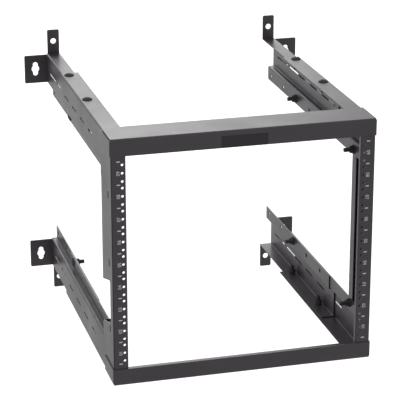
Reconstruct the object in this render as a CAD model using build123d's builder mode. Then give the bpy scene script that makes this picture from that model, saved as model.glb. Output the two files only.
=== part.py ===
from build123d import *
import os

os.makedirs("parts", exist_ok=True)

# Sheet metal
SHEET = 2.0
BEND_INSIDE = 1.5
BEND_OUTSIDE = BEND_INSIDE + SHEET

# Equipment grid of a nineteen inch rack
RACK_UNIT = 44.45
UNITS = 9
HOLE_SPREAD = 15.875
GRID_MARGIN = 10.475
GRID_HOLE = 5.0
HOLE_INSET = 7.05

# Front frame
FRAME_WIDTH = 508.0
RAIL_WIDTH = 28.5
RAIL_RETURN = 10.0
BAR_FACE = 33.0
BAR_DEPTH = 75.0
FRAME_HEIGHT = UNITS * RACK_UNIT + 2 * (GRID_MARGIN + BAR_FACE)

# Folded section of the arms
FLANGE_WIDTH = 36.0
ARM_WEB_HEIGHT = 68.0
STEP_IN = 12.0
LIP_HEIGHT = 25.5
COLUMN_DEPTH = 86.0
COLUMN_LIP = 24.0
CORNER_STRIP = 4.5
PANEL_REACH = 464.0

# Wall sections, which slide inside the panels
WALL_ARM_LENGTH = 434.0
WALL_FLANGE_WIDTH = 27.5
WEB_CLEARANCE = 0.5

# Tabs against the wall
SIDE_TAB_WIDTH = 47.5
UPRIGHT_TAB_HEIGHT = 51.0
UPRIGHT_TAB_WIDTH = 25.0
UPRIGHT_TAB_HOLE = 12.0
UPRIGHT_TAB_HOLE_RISE = 26.5
KEYHOLE_OUT = 24.5
KEYHOLE_RISE = 34.5
KEYHOLE_DIAMETER = 16.0
KEYHOLE_SLOT_WIDTH = 10.5
KEYHOLE_SLOT_HEIGHT = 29.0
TAB_CORNER = 3.0

# Bolts
BOLT_PITCH = 88.9
BOLT_MARGIN = 20.0
DEPTH_STEPS = 2
PANEL_BOLT_IN = 29.4
FRONT_BOLT_IN = 9.0
BOLT_DIAMETER = 8.0
BOLT_LENGTH = 22.0
BOLT_CLEARANCE = 0.5
HEAD_DIAMETER = 20.0
HEAD_HEIGHT = 4.5
HEAD_RIM = 1.0
NUT_FLATS = 13.0
NUT_HEIGHT = 8.0
NUT_COLLAR_DIAMETER = 17.9
NUT_COLLAR_HEIGHT = 1.6
THREAD_CLEARANCE = 0.1
LIP_HOLE_IN = 11.0
WALL_LIP_HOLES = 5
FLANGE_BOLT_IN = 18.8
FLANGE_BOLT_SETBACK = 14.0

# Slots in the webs
ARM_SLOT_LENGTH = 40.0
ARM_SLOT_HEIGHT = 4.0
ARM_SLOT_PITCH = 76.2
ARM_SLOTS = 4
ARM_SLOT_IN = 58.0
SLOT_LINE = 31.0
WALL_SHORT_SLOT = (30.0, 102.0)
WALL_LONG_SLOT = (112.0, 412.0)
COLUMN_SLOT_HEIGHT = 15.0
COLUMN_SLOT_WIDTH = 7.0
COLUMN_SLOT_PITCH = 3 * RACK_UNIT
COLUMN_SLOTS = 3
COLUMN_SLOT_SETBACK = 25.0
COLUMN_SLOT_DROP = 4.0
SMALL_HOLE = 5.0
SMALL_HOLE_MARGIN = 6.0
SMALL_HOLE_HEIGHTS = (-54.0, -102.0, -119.0)

# Cut-out in the left column, open at its rear edge
CUTOUT_FRONT = 22.0
CUTOUT_TOP_FRONT = -38.0
CUTOUT_TOP_REAR = -59.0
CUTOUT_BOTTOM_FRONT = -126.0
CUTOUT_BOTTOM_REAR = -144.0
CUTOUT_CORNER = 5.0

# The origin lies on the wall side of the upper left side tab, between its bend and its keyhole
ORIGIN_FROM_BEND = 7.5

# Places worked out from the sizes above
HALF_WIDTH = FRAME_WIDTH / 2
HALF_HEIGHT = FRAME_HEIGHT / 2
HALF_OPENING = HALF_WIDTH - RAIL_WIDTH
RAIL_SIDE = HALF_WIDTH - BEND_INSIDE
FLANGE_LEVEL = HALF_HEIGHT - SHEET
LEDGE_LEVEL = FLANGE_LEVEL - ARM_WEB_HEIGHT
LIP_SIDE = HALF_WIDTH - STEP_IN
LIP_EDGE = LEDGE_LEVEL - LIP_HEIGHT
LIP_HOLE_LEVEL = LIP_EDGE + LIP_HOLE_IN
SLOT_LEVEL = LEDGE_LEVEL + SLOT_LINE
KEYHOLE_LEVEL = LEDGE_LEVEL + KEYHOLE_RISE
BOLT_REAR = BOLT_MARGIN + DEPTH_STEPS * BOLT_PITCH
PANEL_REAR = BOLT_REAR - PANEL_BOLT_IN
DEPTH = PANEL_REAR + PANEL_REACH
WEB_FRONT = DEPTH - SHEET
COLUMN_REAR = WEB_FRONT - COLUMN_DEPTH
LIP_FRONT = COLUMN_REAR + COLUMN_LIP
BOLT_FRONT = COLUMN_REAR + FRONT_BOLT_IN
BAR_FRONT = DEPTH + SHEET
BAR_REAR = BAR_FRONT - BAR_DEPTH

WALL_FLANGE_LEVEL = FLANGE_LEVEL - SHEET
WALL_WEB_SIDE = HALF_WIDTH - SHEET - WEB_CLEARANCE
WALL_LEDGE_LEVEL = LEDGE_LEVEL + SHEET
WALL_LIP_SIDE = LIP_SIDE - SHEET
UPRIGHT_TAB_IN = WALL_WEB_SIDE - WALL_FLANGE_WIDTH

FLANGE_BOLTS = (PANEL_REAR + FLANGE_BOLT_IN, PANEL_REAR + FLANGE_BOLT_IN + 2 * BOLT_PITCH)
FLANGE_BOLT_SIDE = HALF_WIDTH - FLANGE_BOLT_SETBACK
BOLT_HOLE = BOLT_DIAMETER + 2 * BOLT_CLEARANCE

MID_X = WALL_WEB_SIDE + ORIGIN_FROM_BEND
MID_Z = -KEYHOLE_LEVEL


def across(distance):
    """Upright plane that faces the front, at a distance out from the wall."""
    return Plane(origin=(MID_X, -distance, MID_Z), x_dir=(1, 0, 0), z_dir=(0, -1, 0))


def beside(sideways):
    """Upright plane along the rack: its x is the distance from the wall, its normal points left."""
    return Plane(origin=(MID_X + sideways, 0, MID_Z), x_dir=(0, -1, 0), z_dir=(-1, 0, 0))


def level(height):
    """Level plane that faces down: its y is the distance from the wall."""
    return Plane(origin=(MID_X, 0, MID_Z + height), x_dir=(1, 0, 0), z_dir=(0, 0, -1))


MIDDLE_LEFT_RIGHT = Plane(origin=(MID_X, 0, MID_Z), z_dir=(1, 0, 0))
MIDDLE_UP_DOWN = Plane(origin=(MID_X, 0, MID_Z), z_dir=(0, 0, 1))


def keep(piece, name):
    """Label a finished piece and write its file."""
    piece.part.label = name
    export_step(piece.part, f"parts/{name}.step")


def keep_mirrored(piece, name, *middles):
    """Write a copy of a piece mirrored across one or both middle planes of the rack."""
    shape = piece.part
    for middle in middles:
        shape = mirror(shape, about=middle, mode=Mode.PRIVATE)
    with BuildPart() as copied:
        add(shape)
    keep(copied, name)


def arm_section(flange_width, flange_level, web_side, ledge_level, lip_side):
    """Folded section of an arm: flange, web, ledge and lip, drawn on the sheet's outer face."""
    with BuildLine() as folds:
        outer = FilletPolyline(
            (web_side - flange_width, flange_level),
            (web_side, flange_level),
            (web_side, ledge_level),
            (lip_side, ledge_level),
            (lip_side, LIP_EDGE),
            radius=(BEND_OUTSIDE, BEND_OUTSIDE, BEND_INSIDE),
        )
        offset(outer, amount=SHEET, side=Side.RIGHT)
    make_face(folds.edges())


# Front rails, folded at their inner edge, with the equipment holes
with BuildPart() as right_rail:
    with BuildSketch(level(WALL_FLANGE_LEVEL)):
        with BuildLine():
            face_line = FilletPolyline(
                (RAIL_SIDE, DEPTH),
                (HALF_OPENING, DEPTH),
                (HALF_OPENING, DEPTH - RAIL_RETURN),
                radius=BEND_OUTSIDE,
            )
            offset(face_line, amount=SHEET, side=Side.LEFT)
        make_face()
    extrude(amount=2 * WALL_FLANGE_LEVEL)
    with BuildSketch(across(DEPTH)):
        for step in (-1, 0, 1):
            with Locations((HALF_OPENING + HOLE_INSET, step * HOLE_SPREAD)):
                with GridLocations(1, RACK_UNIT, 1, UNITS):
                    Circle(GRID_HOLE / 2)
    extrude(amount=-SHEET, mode=Mode.SUBTRACT)

keep(right_rail, "right_rail")
keep_mirrored(right_rail, "left_rail", MIDDLE_LEFT_RIGHT)

# Top and bottom bars: an angle across the front with tabs folded back over the panels
with BuildPart() as top_bar:
    with BuildSketch(beside(0)):
        with BuildLine():
            bar_line = FilletPolyline(
                (BAR_REAR, HALF_HEIGHT),
                (BAR_FRONT, HALF_HEIGHT),
                (BAR_FRONT, HALF_HEIGHT - BAR_FACE),
                radius=BEND_OUTSIDE,
            )
            offset(bar_line, amount=SHEET, side=Side.RIGHT)
        make_face()
    extrude(amount=HALF_WIDTH, both=True)
    with BuildSketch(level(HALF_HEIGHT - BAR_FACE)):
        for side in (-1, 1):
            with BuildLine():
                tab_line = FilletPolyline(
                    (side * (HALF_WIDTH - BEND_OUTSIDE), BAR_FRONT),
                    (side * (HALF_WIDTH + SHEET), BAR_FRONT),
                    (side * (HALF_WIDTH + SHEET), BAR_REAR),
                    radius=BEND_OUTSIDE,
                )
                offset(tab_line, amount=SHEET, side=Side.RIGHT if side > 0 else Side.LEFT)
            make_face()
    extrude(amount=-(BAR_FACE - BEND_OUTSIDE))

keep(top_bar, "top_bar")
keep_mirrored(top_bar, "bottom_bar", MIDDLE_UP_DOWN)

# Side panels: a column behind each rail with an arm at its top and its foot, in one folded sheet
with BuildPart() as right_side_panel:
    with BuildSketch(across(PANEL_REAR)):
        arm_section(FLANGE_WIDTH, FLANGE_LEVEL, HALF_WIDTH, LEDGE_LEVEL, LIP_SIDE)
    extrude(amount=WEB_FRONT - PANEL_REAR)
    with BuildSketch(across(COLUMN_REAR)):
        with Locations((HALF_WIDTH, LIP_EDGE)):
            Rectangle(SHEET, LIP_HEIGHT + BEND_OUTSIDE, align=(Align.MAX, Align.MIN))
    extrude(amount=COLUMN_DEPTH)
    with BuildSketch(across(COLUMN_REAR)):
        with Locations((HALF_WIDTH - SHEET, LIP_EDGE)):
            Rectangle(CORNER_STRIP, LIP_HEIGHT, align=(Align.MAX, Align.MIN))
    extrude(amount=SHEET)
    with BuildSketch(level(LIP_EDGE)):
        with BuildLine():
            column_line = FilletPolyline(
                (HALF_WIDTH, WEB_FRONT),
                (HALF_WIDTH, COLUMN_REAR),
                (LIP_SIDE - SHEET, COLUMN_REAR),
                (LIP_SIDE - SHEET, LIP_FRONT),
                radius=BEND_OUTSIDE,
            )
            offset(column_line, amount=SHEET, side=Side.RIGHT)
        make_face()
    extrude(amount=LIP_EDGE)
    with BuildSketch(beside(LIP_SIDE)):
        with Locations((BOLT_REAR, LIP_HOLE_LEVEL), (BOLT_FRONT, LIP_HOLE_LEVEL)):
            Circle(BOLT_HOLE / 2)
    extrude(amount=SHEET, mode=Mode.SUBTRACT)
    with BuildSketch(beside(HALF_WIDTH)):
        for place in range(ARM_SLOTS):
            with Locations((PANEL_REAR + ARM_SLOT_IN + place * ARM_SLOT_PITCH, SLOT_LEVEL)):
                SlotOverall(ARM_SLOT_LENGTH, ARM_SLOT_HEIGHT)
    extrude(amount=SHEET, mode=Mode.SUBTRACT)
    with BuildSketch(level(FLANGE_LEVEL)):
        for place in FLANGE_BOLTS:
            with Locations((FLANGE_BOLT_SIDE, place)):
                Circle(BOLT_HOLE / 2)
    extrude(amount=SHEET, mode=Mode.SUBTRACT)
    mirror(about=MIDDLE_UP_DOWN)
    with BuildSketch(beside(HALF_WIDTH)):
        with Locations((WEB_FRONT - COLUMN_SLOT_SETBACK, -COLUMN_SLOT_DROP)):
            with GridLocations(1, COLUMN_SLOT_PITCH, 1, COLUMN_SLOTS):
                SlotOverall(COLUMN_SLOT_HEIGHT, COLUMN_SLOT_WIDTH, rotation=90)
    extrude(amount=SHEET, mode=Mode.SUBTRACT)
    with BuildSketch(beside(LIP_SIDE)):
        for height in SMALL_HOLE_HEIGHTS:
            with Locations((COLUMN_REAR + SMALL_HOLE_MARGIN, height)):
                Circle(SMALL_HOLE / 2)
    extrude(amount=SHEET, mode=Mode.SUBTRACT)

keep(right_side_panel, "right_side_panel")

# The left panel is the right one mirrored, with the cut-out in its column
with BuildPart() as left_side_panel:
    add(mirror(right_side_panel.part, about=MIDDLE_LEFT_RIGHT, mode=Mode.PRIVATE))
    with BuildSketch(beside(-LIP_SIDE + SHEET)) as cutout:
        with BuildLine():
            Polyline(
                (DEPTH - CUTOUT_FRONT, CUTOUT_TOP_FRONT),
                (COLUMN_REAR - BEND_OUTSIDE, CUTOUT_TOP_REAR),
                (COLUMN_REAR - BEND_OUTSIDE, CUTOUT_BOTTOM_REAR),
                (DEPTH - CUTOUT_FRONT, CUTOUT_BOTTOM_FRONT),
                close=True,
            )
        make_face()
        fillet(cutout.vertices().group_by(Axis.X)[-1], CUTOUT_CORNER)
    extrude(amount=STEP_IN + SHEET, mode=Mode.SUBTRACT)

keep(left_side_panel, "left_side_panel")

# Wall sections: the same folded section, nested inside the panels, with two tabs on the wall
with BuildPart() as upper_right_wall_arm:
    with BuildSketch(across(0)):
        arm_section(
            WALL_FLANGE_WIDTH, WALL_FLANGE_LEVEL, WALL_WEB_SIDE, WALL_LEDGE_LEVEL, WALL_LIP_SIDE
        )
    extrude(amount=WALL_ARM_LENGTH)
    with BuildSketch(across(0)):
        with BuildLine():
            Polyline(
                (WALL_WEB_SIDE - SHEET, WALL_LEDGE_LEVEL + SHEET),
                (WALL_WEB_SIDE + SIDE_TAB_WIDTH, WALL_LEDGE_LEVEL + SHEET),
                (WALL_WEB_SIDE + SIDE_TAB_WIDTH, WALL_FLANGE_LEVEL - SHEET),
                (WALL_WEB_SIDE - SHEET, WALL_FLANGE_LEVEL - SHEET),
                close=True,
            )
        make_face()
        with Locations((UPRIGHT_TAB_IN, WALL_FLANGE_LEVEL - SHEET)):
            Rectangle(
                UPRIGHT_TAB_WIDTH, UPRIGHT_TAB_HEIGHT + SHEET, align=(Align.MIN, Align.MIN)
            )
    extrude(amount=SHEET)
    fillet(
        upper_right_wall_arm.edges().filter_by(Axis.Y).sort_by(Axis.X)[-2:]
        + upper_right_wall_arm.edges().filter_by(Axis.Y).sort_by(Axis.Z)[-2:],
        TAB_CORNER,
    )
    with BuildSketch(across(0)):
        with Locations((WALL_WEB_SIDE + KEYHOLE_OUT, KEYHOLE_LEVEL)):
            Circle(KEYHOLE_DIAMETER / 2)
            SlotOverall(KEYHOLE_SLOT_HEIGHT, KEYHOLE_SLOT_WIDTH, rotation=90)
        with Locations((UPRIGHT_TAB_IN + UPRIGHT_TAB_WIDTH / 2, WALL_FLANGE_LEVEL + UPRIGHT_TAB_HOLE_RISE)):
            Circle(UPRIGHT_TAB_HOLE / 2)
    extrude(amount=SHEET, mode=Mode.SUBTRACT)
    with BuildSketch(beside(WALL_WEB_SIDE)):
        for near, far in (WALL_SHORT_SLOT, WALL_LONG_SLOT):
            with Locations(((near + far) / 2, SLOT_LEVEL)):
                SlotOverall(far - near, ARM_SLOT_HEIGHT)
    extrude(amount=SHEET, mode=Mode.SUBTRACT)
    with BuildSketch(beside(WALL_LIP_SIDE)):
        for place in range(WALL_LIP_HOLES):
            with Locations((BOLT_MARGIN + place * BOLT_PITCH, LIP_HOLE_LEVEL)):
                Circle(BOLT_HOLE / 2)
    extrude(amount=SHEET, mode=Mode.SUBTRACT)
    with BuildSketch(level(WALL_FLANGE_LEVEL)):
        for place in FLANGE_BOLTS:
            with Locations((FLANGE_BOLT_SIDE, place)):
                Circle(BOLT_HOLE / 2)
    extrude(amount=SHEET, mode=Mode.SUBTRACT)

keep(upper_right_wall_arm, "upper_right_wall_arm")
keep_mirrored(upper_right_wall_arm, "upper_left_wall_arm", MIDDLE_LEFT_RIGHT)
keep_mirrored(upper_right_wall_arm, "lower_right_wall_arm", MIDDLE_UP_DOWN)
keep_mirrored(upper_right_wall_arm, "lower_left_wall_arm", MIDDLE_LEFT_RIGHT, MIDDLE_UP_DOWN)


def lip_seat(distance, sideways, normal):
    """Plane on a lip at a bolt, facing left or right."""
    centre = (MID_X + sideways, -distance, MID_Z + LIP_HOLE_LEVEL)
    return Plane(origin=centre, x_dir=(0, 1, 0), z_dir=(normal, 0, 0))


def flange_seat(distance, height, normal):
    """Plane on a flange at a bolt, facing up or down."""
    centre = (MID_X + FLANGE_BOLT_SIDE, -distance, MID_Z + height)
    return Plane(origin=centre, x_dir=(1, 0, 0), z_dir=(0, 0, normal))


def carriage_bolt(seat):
    """Bolt with a domed head on the seat and its shank through the sheet behind it."""
    with BuildSketch(Plane(origin=seat.origin, x_dir=seat.x_dir, z_dir=-seat.y_dir)) as profile:
        with BuildLine():
            rim = Polyline(
                (0, -BOLT_LENGTH),
                (BOLT_DIAMETER / 2, -BOLT_LENGTH),
                (BOLT_DIAMETER / 2, 0),
                (HEAD_DIAMETER / 2, 0),
                (HEAD_DIAMETER / 2, HEAD_RIM),
            )
            dome = TangentArc((0, HEAD_HEIGHT), rim @ 1, tangent=(1, 0))
            Line(dome @ 0, rim @ 0)
        make_face()
    revolve(profile.sketch, axis=Axis(seat.origin, seat.z_dir))


def hexagon_nut(seat, collar):
    """Nut on the seat, with or without a round collar."""
    with BuildSketch(seat) as hexagon:
        RegularPolygon(NUT_FLATS / 2, 6, major_radius=False, rotation=30)
    extrude(hexagon.sketch, amount=NUT_HEIGHT)
    if collar:
        with BuildSketch(seat) as disc:
            Circle(NUT_COLLAR_DIAMETER / 2)
        extrude(disc.sketch, amount=NUT_COLLAR_HEIGHT)
    with BuildSketch(seat) as bore:
        Circle(BOLT_DIAMETER / 2 + THREAD_CLEARANCE)
    extrude(bore.sketch, amount=NUT_HEIGHT, mode=Mode.SUBTRACT)


# Bolts and nuts of one corner: the rear lip bolt joins both sections, the front one the panel alone
with BuildPart() as lip_bolts:
    carriage_bolt(lip_seat(BOLT_REAR, LIP_SIDE, 1))
    carriage_bolt(lip_seat(BOLT_FRONT, LIP_SIDE, 1))

with BuildPart() as lip_nuts:
    hexagon_nut(lip_seat(BOLT_REAR, WALL_LIP_SIDE - SHEET, -1), collar=True)
    hexagon_nut(lip_seat(BOLT_FRONT, LIP_SIDE - SHEET, -1), collar=True)

with BuildPart() as flange_bolts:
    for place in FLANGE_BOLTS:
        carriage_bolt(flange_seat(place, FLANGE_LEVEL, 1))

with BuildPart() as flange_nuts:
    for place in FLANGE_BOLTS:
        hexagon_nut(flange_seat(place, WALL_FLANGE_LEVEL - SHEET, -1), collar=False)

for fasteners, name in (
    (lip_bolts, "lip_bolts"),
    (lip_nuts, "lip_nuts"),
    (flange_bolts, "flange_bolts"),
    (flange_nuts, "flange_nuts"),
):
    keep_mirrored(fasteners, f"upper_right_{name}")
    keep_mirrored(fasteners, f"upper_left_{name}", MIDDLE_LEFT_RIGHT)
    keep_mirrored(fasteners, f"lower_right_{name}", MIDDLE_UP_DOWN)
    keep_mirrored(fasteners, f"lower_left_{name}", MIDDLE_LEFT_RIGHT, MIDDLE_UP_DOWN)
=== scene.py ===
"""Looks of the open frame wall rack: powder coat, printed scales, bare plate and bolt threads."""
import math

import bmesh
import bpy
from mathutils import Matrix, Vector


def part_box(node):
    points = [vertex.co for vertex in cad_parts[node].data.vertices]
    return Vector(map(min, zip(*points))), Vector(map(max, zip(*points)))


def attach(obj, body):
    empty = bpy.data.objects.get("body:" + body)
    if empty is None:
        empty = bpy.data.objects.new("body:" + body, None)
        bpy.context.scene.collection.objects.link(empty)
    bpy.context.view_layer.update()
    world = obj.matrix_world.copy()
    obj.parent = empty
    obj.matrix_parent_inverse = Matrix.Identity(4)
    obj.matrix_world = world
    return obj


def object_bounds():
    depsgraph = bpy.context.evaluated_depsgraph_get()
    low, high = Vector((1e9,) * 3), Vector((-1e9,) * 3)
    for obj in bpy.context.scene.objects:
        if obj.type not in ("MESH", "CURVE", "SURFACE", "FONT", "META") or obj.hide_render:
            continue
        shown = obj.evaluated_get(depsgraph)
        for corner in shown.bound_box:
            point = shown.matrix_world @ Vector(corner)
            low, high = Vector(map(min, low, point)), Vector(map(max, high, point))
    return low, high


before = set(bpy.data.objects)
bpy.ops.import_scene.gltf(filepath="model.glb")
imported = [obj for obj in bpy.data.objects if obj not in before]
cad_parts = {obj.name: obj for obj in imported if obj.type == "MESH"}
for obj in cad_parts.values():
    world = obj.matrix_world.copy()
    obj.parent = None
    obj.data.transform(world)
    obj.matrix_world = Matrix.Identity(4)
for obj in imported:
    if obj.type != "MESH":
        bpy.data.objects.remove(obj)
cad_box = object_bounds()

MM = 0.001

# Printed scales on the rails
RACK_UNIT = 44.45 * MM
UNITS = 9
MARK_FROM_MIDDLE = 240.1 * MM
MARK_THICK = 0.12 * MM
TICK_WIDTH = 6.5 * MM
TICK_HEIGHT = 1.9 * MM
DIGIT_HEIGHT = 7.0 * MM
DIGIT_NARROWING = 0.92
DIGIT_SHARE_OF_FONT_SIZE = 0.72
DIGIT_CURVE_STEPS = 3

# Bare plate on the top bar, from the middle of the bar and from its lower edge
PLATE_LEFT = -46 * MM
PLATE_RIGHT = 43 * MM
PLATE_FOOT = 0.2 * MM
PLATE_HEIGHT = 22.5 * MM
PLATE_THICK = 0.5 * MM
PLATE_CORNER = 1.6 * MM
PLATE_CORNER_STEPS = 5

# Threads on the bolt ends
CORNERS = ("upper_left", "upper_right", "lower_left", "lower_right")
HEAD_RADIUS = 10 * MM
THREAD_PITCH = 1.25 * MM
THREAD_ROOT_RADIUS = 3.98 * MM
THREAD_CREST_RADIUS = 4.22 * MM
THREAD_LENGTH = 12 * MM
THREAD_SIDES = 18

# Colours: each coat has the darker and the lighter tone of its clouds
COAT_TONES = ((0.0315, 0.0240, 0.0315), (0.0375, 0.0300, 0.0375))
HARDWARE_TONES = ((0.044, 0.037, 0.044), (0.054, 0.047, 0.054))
PLATE_TONES = ((0.0150, 0.0115, 0.0150), (0.0180, 0.0145, 0.0180))
INK_COLOUR = (0.60, 0.58, 0.59)
FLOOR_COLOUR = (0.8, 0.8, 0.8)

# Grain of the coats and the ink, with noise scales per metre and the stretch of the noise that counts
CLOUD_SCALE = 9
CLOUD_TONE_RANGE = (0.35, 0.65)
CLOUD_GLOSS_RANGE = (0.3, 0.7)
CLOUD_SMOOTHER = 0.04
CLOUD_ROUGHER = 0.05
SPECK_SCALE = 900
SPECK_STRENGTH = 0.22
PEEL_STRENGTH = 0.16
PEEL_DEPTH = 0.2 * MM
INK_SCALE = 700
INK_RANGE = (0.3, 0.7)
INK_WORN_SHARE = 0.72

# Studio: lamps have a place, in metres from the middle of the rack on the wall plane, and watts
FLOOR_DROP = 0.30
FLOOR_HALF = 30
FLOOR_GLOW = 0.4
SKY_STRENGTH_FRONT_TO_BACK = (0.81, 1.0)
SKY_Y_FRONT_TO_BACK = (-0.6, 0.9)
LAMP_SIZE = 2.4
LAMP_TARGET = (0, -0.3, 0)
LAMPS = {"lamp_back": ((0.3, 3.2, 1.5), 20), "lamp_high": ((0.3, 4.0, 2.8), 32)}

# Photograph's viewpoint, fitted to the equipment grid
CAMERA_AT = (-0.6715, -3.7637, 1.0562)
CAMERA_TURN = (1.22972, 0.00027, -0.26334)
CAMERA_LENS = 167.99
CAMERA_SENSOR = 36
CAMERA_CLIP = (0.1, 100)

# Where the pieces are, read from the frame
LEFT_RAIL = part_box("left_rail")
TOP_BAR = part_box("top_bar")
BOTTOM_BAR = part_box("bottom_bar")
MIDDLE_X = (TOP_BAR[0][0] + TOP_BAR[1][0]) / 2
MIDDLE_Z = (TOP_BAR[1][2] + BOTTOM_BAR[0][2]) / 2
RAIL_FRONT = LEFT_RAIL[0][1]
BAR_FRONT = TOP_BAR[0][1]
BAR_FOOT = TOP_BAR[0][2]


def new_material(name, colour, roughness, specular=0.5):
    """New material, its node tree and its Principled shader."""
    material = bpy.data.materials.new(name)
    material.use_nodes = True
    shader = material.node_tree.nodes["Principled BSDF"]
    shader.inputs["Base Color"].default_value = (*colour, 1)
    shader.inputs["Roughness"].default_value = roughness
    shader.inputs["Specular IOR Level"].default_value = specular
    return material, material.node_tree, shader


def noise(tree, scale, detail):
    """Noise texture on object coordinates."""
    texture = tree.nodes.new("ShaderNodeTexNoise")
    texture.inputs["Scale"].default_value = scale
    texture.inputs["Detail"].default_value = detail
    place = tree.nodes.new("ShaderNodeTexCoord")
    tree.links.new(place.outputs["Object"], texture.inputs["Vector"])
    return texture


def blend_colours(tree, factor, first, second):
    """Colour between two colours, by a factor from another node."""
    mix = tree.nodes.new("ShaderNodeMix")
    mix.data_type = "RGBA"
    mix.inputs["A"].default_value = (*first, 1)
    mix.inputs["B"].default_value = (*second, 1)
    tree.links.new(factor, mix.inputs["Factor"])
    return mix.outputs["Result"]


def multiply_colours(tree, base, other, strength):
    """Base colour multiplied by another, by a share."""
    mix = tree.nodes.new("ShaderNodeMix")
    mix.data_type = "RGBA"
    mix.blend_type = "MULTIPLY"
    mix.inputs["Factor"].default_value = strength
    tree.links.new(base, mix.inputs["A"])
    tree.links.new(other, mix.inputs["B"])
    return mix.outputs["Result"]


def spread(tree, value, given, wanted):
    """Map a value from the given range to the wanted one, clamped."""
    node = tree.nodes.new("ShaderNodeMapRange")
    node.inputs["From Min"].default_value, node.inputs["From Max"].default_value = given
    node.inputs["To Min"].default_value, node.inputs["To Max"].default_value = wanted
    tree.links.new(value, node.inputs["Value"])
    return node.outputs["Result"]


def powder_coat(name, tones, roughness, peel_scale, specular=0.5):
    """Textured powder coat: fine orange peel, faint clouds and slightly uneven gloss."""
    dark, light = tones
    material, tree, shader = new_material(name, dark, roughness, specular)
    cloud = noise(tree, CLOUD_SCALE, detail=3).outputs["Fac"]
    speck = noise(tree, SPECK_SCALE, detail=2).outputs["Color"]
    peel = noise(tree, peel_scale, detail=3).outputs["Fac"]
    tone = spread(tree, cloud, CLOUD_TONE_RANGE, (0, 1))
    base = blend_colours(tree, tone, dark, light)
    flecked = multiply_colours(tree, base, speck, SPECK_STRENGTH)
    tree.links.new(flecked, shader.inputs["Base Color"])
    uneven = spread(tree, cloud, CLOUD_GLOSS_RANGE, (roughness - CLOUD_SMOOTHER, roughness + CLOUD_ROUGHER))
    tree.links.new(uneven, shader.inputs["Roughness"])
    bump = tree.nodes.new("ShaderNodeBump")
    bump.inputs["Strength"].default_value = PEEL_STRENGTH
    bump.inputs["Distance"].default_value = PEEL_DEPTH
    tree.links.new(peel, bump.inputs["Height"])
    tree.links.new(bump.outputs["Normal"], shader.inputs["Normal"])
    return material


def screen_print(name, colour):
    """Pale printing ink, slightly broken by the coat's texture."""
    material, tree, shader = new_material(name, colour, roughness=0.55)
    worn = spread(tree, noise(tree, INK_SCALE, detail=3).outputs["Fac"], INK_RANGE, (0, 1))
    darker = tuple(INK_WORN_SHARE * part for part in colour)
    tree.links.new(blend_colours(tree, worn, darker, colour), shader.inputs["Base Color"])
    return material


def stage_material(name, colour, glow):
    """Pale matt surface that glows to the camera alone."""
    material, tree, shader = new_material(name, colour, roughness=0.9)
    seen = tree.nodes.new("ShaderNodeLightPath").outputs["Is Camera Ray"]
    shader.inputs["Emission Color"].default_value = (1, 1, 1, 1)
    tree.links.new(spread(tree, seen, (0, 1), (0, glow)), shader.inputs["Emission Strength"])
    return material


def paint(piece, material):
    """Give a piece one material."""
    piece.data.materials.clear()
    piece.data.materials.append(material)


def add_object(name, shape, material):
    """Put a finished bmesh in the scene."""
    mesh = bpy.data.meshes.new(name)
    shape.to_mesh(mesh)
    shape.free()
    piece = bpy.data.objects.new(name, mesh)
    bpy.context.scene.collection.objects.link(piece)
    paint(piece, material)
    return piece


def add_piece(name, shape, material):
    """Put a finished bmesh in the scene as a piece of the rack."""
    piece = add_object(name, shape, material)
    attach(piece, "root")


def add_block(shape, centre, size):
    """Add a block with these sides to a bmesh."""
    block = bmesh.ops.create_cube(shape, size=1)["verts"]
    bmesh.ops.scale(shape, vec=size, verts=block)
    bmesh.ops.translate(shape, vec=centre, verts=block)


def digits_mesh(words):
    """Flat mesh of a printed number in narrow figures, centred on its own middle."""
    curve = bpy.data.curves.new("number", "FONT")
    curve.body = words
    curve.size = DIGIT_HEIGHT / DIGIT_SHARE_OF_FONT_SIZE
    curve.align_x = "CENTER"
    curve.align_y = "CENTER"
    curve.resolution_u = DIGIT_CURVE_STEPS
    holder = bpy.data.objects.new("number", curve)
    mesh = bpy.data.meshes.new_from_object(holder)
    bpy.data.curves.remove(curve)
    mesh.transform(Matrix.Diagonal((DIGIT_NARROWING, 1, 1, 1)))
    return mesh


def printed_scale(label, side, ink):
    """Tick at each unit's edge and a number in each unit, on one rail."""
    shape = bmesh.new()
    x = MIDDLE_X + side * MARK_FROM_MIDDLE
    for edge in range(UNITS + 1):
        z = MIDDLE_Z + (edge - UNITS / 2) * RACK_UNIT
        add_block(shape, (x, RAIL_FRONT - MARK_THICK / 2, z), (TICK_WIDTH, MARK_THICK, TICK_HEIGHT))
    stand = Matrix.Rotation(math.pi / 2, 4, "X")
    turn = Matrix.Rotation(side * math.pi / 2, 4, "Y")
    for unit in range(UNITS):
        z = MIDDLE_Z + (unit + 0.5 - UNITS / 2) * RACK_UNIT
        mesh = digits_mesh(f"{unit + 1:02d}")
        mesh.transform(Matrix.Translation((x, RAIL_FRONT - MARK_THICK, z)) @ turn @ stand)
        shape.from_mesh(mesh)
        bpy.data.meshes.remove(mesh)
    add_piece(f"{label}_rail_scale", shape, ink)


def rounded_outline(x0, x1, z0, z1, radius, steps):
    """Corner-rounded rectangle as points in the XZ plane, counter-clockwise as seen from the front."""
    points = []
    corners = ((x1, z1, 0), (x0, z1, 90), (x0, z0, 180), (x1, z0, 270))
    for x, z, start in corners:
        inner_x = x - math.copysign(radius, x - (x0 + x1) / 2)
        inner_z = z - math.copysign(radius, z - (z0 + z1) / 2)
        for step in range(steps + 1):
            angle = math.radians(start + 90 * step / steps)
            points.append((inner_x + radius * math.cos(angle), inner_z + radius * math.sin(angle)))
    return points


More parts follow.
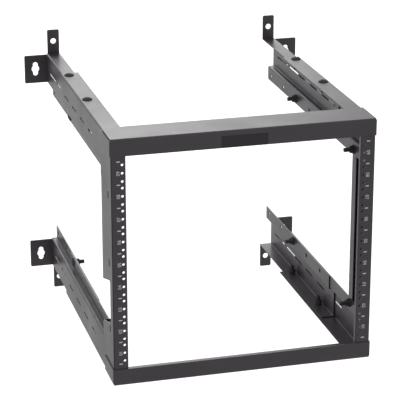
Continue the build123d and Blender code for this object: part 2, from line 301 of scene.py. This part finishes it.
def bare_plate(material):
    """Plain plate on the front of the top bar."""
    shape = bmesh.new()
    left, right = MIDDLE_X + PLATE_LEFT, MIDDLE_X + PLATE_RIGHT
    low = BAR_FOOT + PLATE_FOOT
    outline = rounded_outline(left, right, low, low + PLATE_HEIGHT, PLATE_CORNER, PLATE_CORNER_STEPS)
    front = [shape.verts.new((x, BAR_FRONT - PLATE_THICK, z)) for x, z in outline]
    back = [shape.verts.new((x, BAR_FRONT, z)) for x, z in outline]
    shape.faces.new(front)
    shape.faces.new(back[::-1])
    for here in range(len(outline)):
        before = here - 1
        shape.faces.new((front[before], back[before], back[here], front[here]))
    add_piece("bare_plate", shape, material)


def add_thread(shape, start, direction):
    """Screw thread on a bolt's end, from start along direction, in helical rings half a pitch apart."""
    first_side = direction.orthogonal().normalized()
    second_side = direction.cross(first_side)
    rings = []
    for ring in range(2 * int(THREAD_LENGTH / THREAD_PITCH)):
        radius = THREAD_CREST_RADIUS if ring % 2 else THREAD_ROOT_RADIUS
        points = []
        for side in range(THREAD_SIDES):
            turn = side / THREAD_SIDES
            angle = 2 * math.pi * turn
            outward = first_side * math.cos(angle) + second_side * math.sin(angle)
            rise = (ring / 2 + turn) * THREAD_PITCH
            points.append(shape.verts.new(start + direction * rise + outward * radius))
        rings.append(points)
    for ring in range(len(rings) - 3):
        # After a full turn, a ring meets the one that starts a pitch further on
        lower = rings[ring] + rings[ring + 2][:1]
        upper = rings[ring + 1] + rings[ring + 3][:1]
        for side in range(THREAD_SIDES):
            shape.faces.new((lower[side], lower[side + 1], upper[side + 1], upper[side]))


def threads(corner, material):
    """Threads on the four bolt ends of a corner, which all point into the rack."""
    shape = bmesh.new()
    for kind, axis, middle in (("lip", 0, MIDDLE_X), ("flange", 2, MIDDLE_Z)):
        low, high = (Vector(point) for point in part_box(f"{corner}_{kind}_bolts"))
        end = (low + high) / 2
        beyond = end[axis] > middle
        end[axis] = low[axis] if beyond else high[axis]
        direction = Vector((0, 0, 0))
        direction[axis] = 1 if beyond else -1
        # The heads are the widest part, so each bolt's middle is a head's radius in from the box's end
        for y in (low.y + HEAD_RADIUS, high.y - HEAD_RADIUS):
            add_thread(shape, Vector((end.x, y, end.z)), direction)
    add_piece(f"{corner}_threads", shape, material)


def floor():
    """Plain pale floor below the rack."""
    shape = bmesh.new()
    bmesh.ops.create_grid(shape, x_segments=1, y_segments=1, size=FLOOR_HALF)
    plane = add_object("floor", shape, stage_material("floor_pale", FLOOR_COLOUR, FLOOR_GLOW))
    plane.location = (MIDDLE_X, 0, cad_box[0][2] - FLOOR_DROP)


def world_light():
    """White surroundings, dimmer in front of the rack than behind it, and white to the camera."""
    world = bpy.data.worlds.new("studio")
    bpy.context.scene.world = world
    world.use_nodes = True
    tree = world.node_tree
    direction = tree.nodes.new("ShaderNodeTexCoord").outputs["Generated"]
    parts = tree.nodes.new("ShaderNodeSeparateXYZ")
    tree.links.new(direction, parts.inputs["Vector"])
    around = spread(tree, parts.outputs["Y"], SKY_Y_FRONT_TO_BACK, SKY_STRENGTH_FRONT_TO_BACK)
    path = tree.nodes.new("ShaderNodeLightPath")
    mix = tree.nodes.new("ShaderNodeMix")
    tree.links.new(path.outputs["Is Camera Ray"], mix.inputs["Factor"])
    tree.links.new(around, mix.inputs["A"])
    mix.inputs["B"].default_value = 1
    background = tree.nodes["Background"]
    background.inputs["Color"].default_value = (1, 1, 1, 1)
    tree.links.new(mix.outputs["Result"], background.inputs["Strength"])


def lamp(name, offset, power):
    """Soft square lamp behind the rack, aimed at it and unseen by the camera."""
    middle = Vector((MIDDLE_X, 0, MIDDLE_Z))
    place = middle + Vector(offset)
    data = bpy.data.lights.new(name, "AREA")
    data.size = LAMP_SIZE
    data.energy = power
    holder = bpy.data.objects.new(name, data)
    holder.location = place
    holder.rotation_euler = (middle + Vector(LAMP_TARGET) - place).to_track_quat("-Z", "Y").to_euler()
    holder.visible_camera = False
    bpy.context.scene.collection.objects.link(holder)


def camera():
    """Camera at the photograph's viewpoint."""
    data = bpy.data.cameras.new("camera")
    data.lens = CAMERA_LENS
    data.sensor_width = CAMERA_SENSOR
    data.clip_start, data.clip_end = CAMERA_CLIP
    holder = bpy.data.objects.new("camera", data)
    holder.location = CAMERA_AT
    holder.rotation_euler = CAMERA_TURN
    bpy.context.scene.collection.objects.link(holder)
    bpy.context.scene.camera = holder


coat = powder_coat("powder_coat_black", COAT_TONES, roughness=0.36, peel_scale=1400)
hardware = powder_coat("hardware_black", HARDWARE_TONES, roughness=0.55, peel_scale=2400, specular=0.08)
plate_coat = powder_coat("plate_black", PLATE_TONES, roughness=0.52, peel_scale=2200, specular=0.35)
print_ink = screen_print("print_white", INK_COLOUR)

for name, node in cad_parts.items():
    paint(node, hardware if name.endswith(("bolts", "nuts")) else coat)

printed_scale("left", -1, print_ink)
printed_scale("right", 1, print_ink)
bare_plate(plate_coat)
for corner in CORNERS:
    threads(corner, hardware)

floor()
world_light()
for name, (offset, power) in LAMPS.items():
    lamp(name, offset, power)
camera()
bpy.context.scene.view_settings.view_transform = "Standard"
